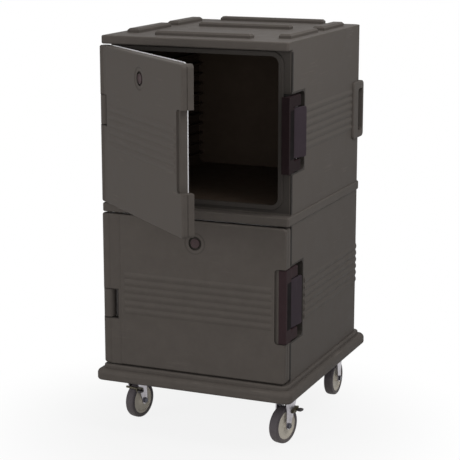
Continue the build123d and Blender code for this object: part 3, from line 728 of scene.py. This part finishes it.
class CART_OT_vent_caps(bpy.types.Operator):
    """Make the round steam vent caps with a dished face and a gripped rim"""

    bl_idname = "food_cart.vent_caps"
    bl_label = "Vent caps"

    def execute(self, context):
        colours, sizes = context.scene.food_cart_colours, context.scene.food_cart_sizes
        material = base_material(
            "vent_plastic", colours.vent, grain=500.0, wave=20.0, bump=0.06 * MM, spread=0.1,
            rough=0.5, specular=0.05)[0]
        low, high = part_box("lower_vent_cap")
        centre = np.array(((low.x + high.x) / 2, low.y, (low.z + high.z) / 2))
        points, faces = self.cap((high.x - low.x) / 2, high.y - low.y, sizes.vent_dish)
        for stage in STAGES:
            cap = make_piece(stage + "_vent_button", on_door(stage, points + centre), faces,
                             material, stage + "_vent")
            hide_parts(stage + "_vent_cap")
        return {"FINISHED"}

    @staticmethod
    def cap(radius, depth, dish, columns=96):
        """Cap turned about Y: a dished disc inside a raised rim, and a stem.

        The disc sinks as the square of the radius falls; the rim's radius ripples with the cosine
        of a multiple of the angle."""
        share, back = CAP_PROFILE[:, 0], CAP_PROFILE[:, 1] * MM
        back[:CAP_DISC_ROWS] += dish * (CAP_DISH_SHARE - share[:CAP_DISC_ROWS] ** 2)
        angle = round_angles(columns)
        grip = np.where(share == 1.0, GRIP_DEPTH, 0.0)[:, None]
        reach = share[:, None] * radius - grip * (0.5 + 0.5 * np.cos(GRIP_RIPPLES * angle))
        y = np.minimum(back, depth)[:, None] + 0 * angle
        rings = np.stack((reach * np.cos(angle), y, reach * np.sin(angle)), axis=-1)
        poles = np.array(((0, back[0] - CAP_POLE_RISE, 0), (0, y[-1, 0], 0)))
        points = np.concatenate((rings.reshape(-1, 3), poles))
        return points, capped_faces(len(share), columns)


# A gasket: its band, its corners, and the share of the band that its rear face takes
GASKET_BAND, GASKET_TOP_BAND = 12 * MM, 17.5 * MM
GASKET_OUTER_CORNER, GASKET_INNER_CORNER = 24 * MM, 20 * MM
GASKET_EDGE_DROP = 1.2 * MM
GASKET_FRONT = 0.1 * MM
GASKET_REAR_SHARE = 0.92


class CART_OT_gaskets(bpy.types.Operator):
    """Make the door seals, a two-lipped profile carried round the opening"""

    bl_idname = "food_cart.gaskets"
    bl_label = "Door gaskets"

    def execute(self, context):
        colours, sizes = context.scene.food_cart_colours, context.scene.food_cart_sizes
        material = base_material(
            "gasket_rubber", colours.gasket, grain=700.0, wave=40.0, bump=0.08 * MM, spread=0.06,
            rough=0.55)[0]
        low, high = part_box("lower_gasket")
        points, faces = self.ring(low, high, sizes.gasket_lip)
        for stage in STAGES:
            seal = make_piece(stage + "_door_seal", on_door(stage, points), [faces], material,
                              stage + "_door")
            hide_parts(stage + "_gasket")
        return {"FINISHED"}

    @staticmethod
    def rounded_path(low, high, corner, steps=10):
        """Rounded rectangle in X and Z between two corners: quarter circles and straight runs."""
        quarter = np.linspace(0, np.pi / 2, steps)
        turn = (np.arange(4)[:, None] * np.pi / 2 + quarter).ravel()
        right, top = np.repeat(((1, 0, 0, 1), (1, 1, 0, 0)), steps, axis=1)
        x = np.where(right, high[0] - corner, low[0] + corner) + corner * np.cos(turn)
        z = np.where(top, high[1] - corner, low[1] + corner) + corner * np.sin(turn)
        return np.stack((x, 0 * turn, z), axis=-1)

    @classmethod
    def ring(cls, low, high, groove, steps=15):
        """Two-lipped band between an outer and an inner rounded rectangle.

        A share from 0 to 1 runs from the inner to the outer path; the rear face dips between two
        lips with the square of a sine of the way across, and rounds off at both edges."""
        outer = cls.rounded_path((low.x, low.z), (high.x, high.z), GASKET_OUTER_CORNER)
        inner = cls.rounded_path((low.x + GASKET_BAND, low.z + GASKET_BAND),
                                 (high.x - GASKET_BAND, high.z - GASKET_TOP_BAND),
                                 GASKET_INNER_CORNER)
        t = np.linspace(0, 1, steps)
        dip = groove * np.sin(np.pi * t) ** 2
        rear = high.y - low.y - dip - GASKET_EDGE_DROP * np.abs(2 * t - 1) ** 8
        across = 0.5 + GASKET_REAR_SHARE * (0.5 - t)
        share = np.concatenate((across, (0.0, 1.0)))
        back = np.concatenate((rear, (GASKET_FRONT, GASKET_FRONT)))
        points = inner[:, None] + share[None, :, None] * (outer - inner)[:, None]
        points[..., 1] += low.y + back
        return points.reshape(-1, 3), grid_faces(len(outer), len(share), True)


# A shield's two corners in X and Y from the hinge line, and how its sections draw in at its ends
SHIELD_NEAR = (19.5 * MM, 8.4 * MM)
SHIELD_FAR = (38.6 * MM, 9.8 * MM)
SHIELD_SHARES = np.array((0.9, 0.98, 1.0, 1.0, 0.98, 0.9))
SHIELD_BLUNTNESS = 0.3


class CART_OT_hinge_shields(bpy.types.Operator):
    """Make the shields that close the door behind each hinge knuckle"""

    bl_idname = "food_cart.hinge_shields"
    bl_label = "Hinge shields"

    def execute(self, context):
        line = np.array(joint("lower_door_hinge")["pos_m"][:2])
        for stage in STAGES:
            low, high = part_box(stage + "_hinge_knuckle")
            lift = stage_lift(stage)
            points, faces = self.plate(np.array((*(line + SHIELD_NEAR), low.z - lift)),
                                       np.array((*(line + SHIELD_FAR), high.z - lift)))
            make_piece(stage + "_hinge_shield", on_door(stage, points), faces,
                       bpy.data.materials["cabinet_plastic"], stage + "_door")
        return {"FINISHED"}

    @staticmethod
    def plate(low, high, columns=32):
        """Upright plate between two corners: superellipse sections that draw in at both ends."""
        middle, half = (low + high) / 2, (high - low) / 2
        angle = round_angles(columns)
        section = blunted(np.stack((np.cos(angle), np.sin(angle)), axis=-1), SHIELD_BLUNTNESS)
        flat = middle[:2] + half[:2] * section[None] * SHIELD_SHARES[:, None, None]
        steps = np.array((0, 1, 2)) * MM
        height = np.concatenate((low[2] + steps, high[2] - steps[::-1]))
        level = np.repeat(height[:, None, None], columns, axis=1)
        rings = np.concatenate((flat, level), axis=-1)
        ends = np.array(((*middle[:2], low[2]), (*middle[:2], high[2])))
        return np.concatenate((rings.reshape(-1, 3), ends)), capped_faces(len(height), columns)


class CART_OT_pins(bpy.types.Operator):
    """Finish the hinge, lever and link pins"""

    bl_idname = "food_cart.pins"
    bl_label = "Pins"

    def execute(self, context):
        colours = context.scene.food_cart_colours
        material = base_material(
            "stainless_steel", colours.steel, grain=900.0, wave=60.0, bump=0.03 * MM, spread=0.05,
            rough=0.3, metallic=1.0)[0]
        finish_nodes(each_stage("hinge_pin", "latch_pin", "link_pin"), material)
        return {"FINISHED"}


# Screws on a latch plate: from its low corner in X and Y, and from its middle in Z
SCREW_SEAT = 4 * MM
SCREW_ROWS = (30 * MM, 70 * MM)
SCREW_LEVELS = (-46 * MM, 46 * MM)
SCREW_RADIUS, SCREW_RISE = 4.5 * MM, 2.4 * MM
SLOT_DEPTH, SLOT_REACH = 1.2 * MM, 0.66


class CART_OT_latch_screws(bpy.types.Operator):
    """Make the cross-slotted screws of the latch plates"""

    bl_idname = "food_cart.latch_screws"
    bl_label = "Latch screws"

    def execute(self, context):
        sizes = context.scene.food_cart_sizes
        spots = []
        for stage in STAGES:
            low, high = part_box(stage + "_latch_base")
            middle = (low.z + high.z) / 2
            spots += [(low.x + SCREW_SEAT, low.y + row, middle + level)
                      for row in SCREW_ROWS for level in SCREW_LEVELS]
        points, face_sets = self.heads(np.array(spots), sizes.screw_slot)
        screws = make_piece("latch_screw_heads", points, face_sets,
                            bpy.data.materials["stainless_steel"], "cart",
                            crease=30)
        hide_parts("latch_screws")
        return {"FINISHED"}

    @staticmethod
    def heads(spots, slot, rings=14, columns=64):
        """Pan heads: height is a superellipse of the radius, sunk where either cross arm passes."""
        share = np.linspace(1, 1 / rings, rings)[:, None]
        angle = round_angles(columns)[None]
        y, z = SCREW_RADIUS * share * np.cos(angle), SCREW_RADIUS * share * np.sin(angle)
        dome = SCREW_RISE * (1 - share ** 4) ** 0.5 + 0 * angle
        arm = np.minimum(np.abs(y), np.abs(z)) < slot / 2
        sunk = np.where(arm & (share < SLOT_REACH), dome - SLOT_DEPTH, dome)
        head = np.stack((sunk, y, z), axis=-1).reshape(-1, 3)
        head = np.concatenate((head, ((0, 0, 0), (SCREW_RISE - SLOT_DEPTH, 0, 0))))
        points = (spots[:, None] + head[None]).reshape(-1, 3)
        shift = (np.arange(len(spots)) * len(head))[:, None, None]
        return points, [(faces[None] + shift).reshape(-1, faces.shape[1])
                        for faces in capped_faces(rings, columns)]


class CART_OT_caster_steel(bpy.types.Operator):
    """Finish the zinc-plated forks, plates and bolts, and the dark axles"""

    bl_idname = "food_cart.caster_steel"
    bl_label = "Caster steel"

    def execute(self, context):
        colours = context.scene.food_cart_colours
        material, tree, colour = base_material(
            "zinc_steel", colours.zinc, grain=800.0, wave=70.0, bump=0.05 * MM, spread=0.3,
            rough=0.3, metallic=1.0)
        paint(tree, dusted(tree, colour, "6d675f", top=0.2, amount=0.3))
        finish_nodes([wheel + "_fork" for wheel in WHEELS], material)
        finish_nodes([swivel + "_caster_plate" for swivel in SWIVELS], material)
        finish_nodes(("caster_bolts",), material)
        dark = base_material(
            "axle_steel", colours.axle, grain=800.0, wave=45.0, bump=0.05 * MM, spread=0.15,
            rough=0.3, metallic=1.0)[0]
        finish_nodes([wheel + "_axle" for wheel in WHEELS], dark)
        return {"FINISHED"}


class CART_OT_wheels(bpy.types.Operator):
    """Make the moulded wheel centres and the solid tyres"""

    bl_idname = "food_cart.wheels"
    bl_label = "Wheels"

    def execute(self, context):
        colours, sizes = context.scene.food_cart_colours, context.scene.food_cart_sizes
        centre_finish, tree, colour = base_material(
            "wheel_centre", colours.wheel, grain=500.0, wave=30.0, bump=0.08 * MM, spread=0.08,
            rough=0.5, specular=0.15)
        paint(tree, dusted(tree, colour, "5c564e", top=0.16, amount=0.35))
        tyre_finish, tree, colour = base_material(
            "tyre_rubber", colours.tyre, grain=450.0, wave=40.0, bump=0.12 * MM, spread=0.12,
            rough=0.62, specular=0.15)
        paint(tree, dusted(tree, colour, "8a847b", top=0.09, amount=0.4))
        centre_profile = self.centre_profile(sizes.wheel_lip)
        tyre_profile = self.tyre_profile(sizes.tyre_ring)
        for wheel in WHEELS:
            roll = joint(wheel + "_roll")
            body = wheel + "_wheel"
            points, faces = turned_ring(centre_profile, roll["pos_m"], roll["axis"])
            centre = make_piece(wheel + "_wheel_centre", points, [faces], centre_finish, body)
            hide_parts(wheel + "_hub")
            points, faces = turned_ring(tyre_profile, roll["pos_m"], roll["axis"], columns=96)
            tyre = make_piece(wheel + "_solid_tyre", points, [faces], tyre_finish, body)
            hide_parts(wheel + "_tyre")
        return {"FINISHED"}

    @staticmethod
    def centre_profile(lip):
        """Profile of a wheel centre, in millimetres before scaling.

        A boss, a shallow web, and a rim with a rounded lip, mirrored across the wheel."""
        boss, rim = 19.6, 14.5
        web = rim - lip / MM
        half = np.concatenate((
            ((boss, 5.06), (boss, 10.6)),
            round_over(boss, 10.8, boss - 1, 12, 1.0, 4),
            ((web + 1.2, 13.6), (web + 0.3, 15.5), (web, 19), (web, 34), (web + 0.3, 39)),
            round_over(web + 0.5, 39.6, rim, 41.8, 1.0, 5),
            ((rim, 46.4), (rim - 0.2, 48.4))))
        return mirrored(half) * MM

    @staticmethod
    def tyre_profile(ring):
        """Profile of a tyre, in millimetres before scaling.

        A sidewall with a ring raised like a bell curve, then a superellipse shoulder up to the
        tread, mirrored across the wheel."""
        wall, tread = 16.0, 63.5
        radius = np.linspace(49.6, 56, 14)
        raised = ring / MM * np.exp(-((radius - 52.4) / 0.8) ** 2)
        side = np.stack((wall + raised, radius), axis=-1)
        shoulder = round_over(wall, 56.2, 0.4, tread, 0.62, 16)
        return mirrored(np.concatenate((((14.5, 48.52),), side, shoulder))) * MM


# A foot tab: half its width and height, and how far ahead of and above the wheel's middle it lies
TAB_HALF_WIDTH, TAB_HALF_HEIGHT = 8.5 * MM, 2 * MM
TAB_AHEAD, TAB_ABOVE = 44.8 * MM, 47.5 * MM
# Sections of a sleeve: millimetres outward from the wheel's middle, and share of the full size
SLEEVE_SECTIONS = np.array((
    (33.0, 0.86), (33.0, 0.96), (34.0, 1.0), (39.0, 1.0),
    (44.0, 1.0), (45.4, 0.95), (46.2, 0.8), (46.5, 0.55)))
SLEEVE_BLUNTNESS = 0.45


class CART_OT_brakes(bpy.types.Operator):
    """Finish the brake pedals and make the soft sleeves on their foot tabs"""

    bl_idname = "food_cart.brakes"
    bl_label = "Brake pedals"

    def execute(self, context):
        colours, sizes = context.scene.food_cart_colours, context.scene.food_cart_sizes
        # brake_steel is darker than the passivated steel: painted shade under the base
        material = base_material(
            "brake_steel", colours.brake, grain=800.0, wave=45.0, bump=0.05 * MM, spread=0.15,
            rough=0.4, metallic=0.4)[0]
        finish_nodes([swivel + "_brake" for swivel in SWIVELS], material)
        soft = base_material(
            "pedal_sleeve", colours.pedal, grain=500.0, wave=60.0, bump=0.12 * MM, spread=0.1,
            rough=0.6)[0]
        for swivel in SWIVELS:
            roll, pivot = joint(swivel + "_roll"), joint(swivel + "_brake_pedal")
            centre, axle = np.array(roll["pos_m"]), np.array(roll["axis"], float)
            outward = axle * np.sign(np.dot(np.array(pivot["pos_m"]) - centre, axle))
            ahead = np.cross(axle, UP)
            points, faces = self.sleeve(centre, outward, ahead, sizes.sleeve_wall)
            make_piece(swivel + "_pedal_sleeve", points, faces, soft, swivel + "_brake")
        return {"FINISHED"}

    @staticmethod
    def sleeve(centre, outward, ahead, wall, columns=40):
        """Sleeve over a foot tab: superellipse sections drawn in to a rounded closed end.

        Each section sits at a distance outward from the wheel; its half width and half height are
        those of the tab plus the wall, times a share that falls towards both ends."""
        along, share = SLEEVE_SECTIONS[:, 0] * MM, SLEEVE_SECTIONS[:, 1:]
        angle = round_angles(columns)[None]
        wide = blunted(np.cos(angle), SLEEVE_BLUNTNESS)
        tall = blunted(np.sin(angle), SLEEVE_BLUNTNESS)
        reach = (TAB_HALF_WIDTH + wall) * share * wide + TAB_AHEAD
        rise = (TAB_HALF_HEIGHT + wall) * share * tall + TAB_ABOVE
        rings = (centre + along[:, None, None] * outward + reach[..., None] * ahead
                 + rise[..., None] * UP)
        ends = rings[[0, -1]].mean(axis=1)
        return np.concatenate((rings.reshape(-1, 3), ends)), capped_faces(len(along), columns)


# Lamps: name, place, edge of the square and power in watts
LAMPS = (
    ("key_lamp", (1.7, -0.3, 2.6), 1.4, 33),
    ("fill_lamp", (1.5, -3.9, 1.3), 1.8, 42),
    ("left_lamp", (-2.6, -3.8, 1.8), 2.2, 78),
    ("top_lamp", (0.2, 0.2, 4.2), 2.4, 28),
)
LAMP_TARGET = Vector((0, 0, 0.7))
CAMERA_PLACE = Vector((2.0257, -4.6452, 1.8239))
CAMERA_TARGET = Vector((0.0145, 0.1093, 0.6767))
CAMERA_LENS, CAMERA_SENSOR, CAMERA_REACH = 119.94, 36.0, 100.0
FLOOR_HALF = 30.0
FLOOR_GREY, WORLD_GREY = 0.45, 0.35
# The floor is partly white up to one distance from the middle, and all white from another
FADE_FROM, FADE_TO, FADE_START = 0.35, 1.0, 0.87


class CART_OT_studio(bpy.types.Operator):
    """Make the floor, the soft lamps, the white surroundings and the camera"""

    bl_idname = "food_cart.studio"
    bl_label = "Studio"

    def execute(self, context):
        scene = context.scene
        scene.view_settings.view_transform = "Standard"
        self.floor(scene)
        self.surroundings(scene)
        for lamp in LAMPS:
            self.lamp(scene, *lamp)
        self.camera(scene)
        return {"FINISHED"}

    @staticmethod
    def seen(tree):
        """1 for rays that show the background: straight, mirrored or through something clear."""
        rays = tree.nodes.new("ShaderNodeLightPath").outputs
        straight = maths(tree, "MAXIMUM", rays["Is Camera Ray"], rays["Is Glossy Ray"])
        return maths(tree, "MAXIMUM", straight, rays["Is Transmission Ray"])

    @staticmethod
    def mix_shaders(tree, first, second, share, sink):
        """Send a mix of two shaders to the output of a material or world."""
        mix = add_node(tree, "ShaderNodeMixShader",
                       {0: share, 1: first.outputs[0], 2: second.outputs[0]})
        tree.links.new(mix.outputs[0], sink.inputs["Surface"])
        arrange(tree)

    @staticmethod
    def aim(thing, place, target):
        """Put a lamp or camera at a place, facing a target."""
        thing.location = place
        thing.rotation_euler = (target - place).to_track_quat("-Z", "Y").to_euler()

    def floor(self, scene):
        """Pale floor that takes the shadow near the cart and fades into the white further off."""
        corners = [(x * FLOOR_HALF, y * FLOOR_HALF, 0)
                   for x, y in ((-1, -1), (1, -1), (1, 1), (-1, 1))]
        mesh = bpy.data.meshes.new("studio_floor")
        mesh.from_pydata(corners, [], [(0, 1, 2, 3)])
        floor = bpy.data.objects.new("studio_floor", mesh)
        scene.collection.objects.link(floor)
        material = bpy.data.materials.new("studio_floor")
        material.use_nodes = True
        tree = material.node_tree
        shader, sink = tree.nodes["Principled BSDF"], tree.nodes["Material Output"]
        feed(tree, shader, {"Base Color": (FLOOR_GREY, FLOOR_GREY, FLOOR_GREY, 1),
                            "Roughness": 0.9, "Specular IOR Level": 0.1})
        away = vector_maths(tree, "LENGTH", object_point(tree))["Value"]
        far = ramp(tree, away, FADE_FROM, FADE_TO, FADE_START, 1.0)
        share = maths(tree, "MULTIPLY", far, self.seen(tree))
        white = add_node(tree, "ShaderNodeEmission", {})
        self.mix_shaders(tree, shader, white, share, sink)
        mesh.materials.append(material)

    def surroundings(self, scene):
        """White for the camera and for reflections, a plain grey light from all round otherwise."""
        world = bpy.data.worlds.new("studio_white")
        world.use_nodes = True
        scene.world = world
        tree = world.node_tree
        plain, sink = tree.nodes["Background"], tree.nodes["World Output"]
        feed(tree, plain, {"Color": (WORLD_GREY, WORLD_GREY, WORLD_GREY, 1)})
        white = add_node(tree, "ShaderNodeBackground", {"Color": (1, 1, 1, 1)})
        self.mix_shaders(tree, plain, white, self.seen(tree), sink)

    def lamp(self, scene, name, place, size, power):
        """Square soft lamp that faces the middle of the cart."""
        light = bpy.data.lights.new(name, "AREA")
        light.size, light.energy = size, power
        lamp = bpy.data.objects.new(name, light)
        self.aim(lamp, Vector(place), LAMP_TARGET)
        scene.collection.objects.link(lamp)

    def camera(self, scene):
        """Long lens to the right of the front, a little above the cart."""
        lens = bpy.data.cameras.new("studio_camera")
        lens.lens, lens.sensor_width, lens.clip_end = CAMERA_LENS, CAMERA_SENSOR, CAMERA_REACH
        camera = bpy.data.objects.new("studio_camera", lens)
        self.aim(camera, CAMERA_PLACE, CAMERA_TARGET)
        scene.collection.objects.link(camera)
        scene.camera = camera


PIECE_OPERATORS = (
    CART_OT_cabinet,
    CART_OT_base,
    CART_OT_liner,
    CART_OT_foam,
    CART_OT_latches,
    CART_OT_vent_caps,
    CART_OT_gaskets,
    CART_OT_hinge_shields,
    CART_OT_pins,
    CART_OT_latch_screws,
    CART_OT_caster_steel,
    CART_OT_wheels,
    CART_OT_brakes,
    CART_OT_studio,
)


class CART_PT_sidebar(bpy.types.Panel):
    """Lists the operators that dress the cart"""

    bl_idname = "CART_PT_sidebar"
    bl_label = "Food cart"
    bl_space_type = "VIEW_3D"
    bl_region_type = "UI"
    bl_category = "Food cart"

    def draw(self, context):
        for operator in PIECE_OPERATORS:
            self.layout.operator(operator.bl_idname)


CLASSES = (CartColours, CartSizes) + PIECE_OPERATORS + (CART_PT_sidebar,)


def register():
    """Register the classes and hang the values on the scene."""
    for entry in CLASSES:
        bpy.utils.register_class(entry)
    bpy.types.Scene.food_cart_colours = bpy.props.PointerProperty(type=CartColours)
    bpy.types.Scene.food_cart_sizes = bpy.props.PointerProperty(type=CartSizes)


def unregister():
    """Take the values and the classes away again."""
    del bpy.types.Scene.food_cart_colours
    del bpy.types.Scene.food_cart_sizes
    for entry in reversed(CLASSES):
        bpy.utils.unregister_class(entry)


def main():
    """Dress the cart."""
    register()
    for operator in PIECE_OPERATORS:
        getattr(bpy.ops.food_cart, operator.bl_idname.split(".")[1])()


if __name__ == "__main__":
    main()
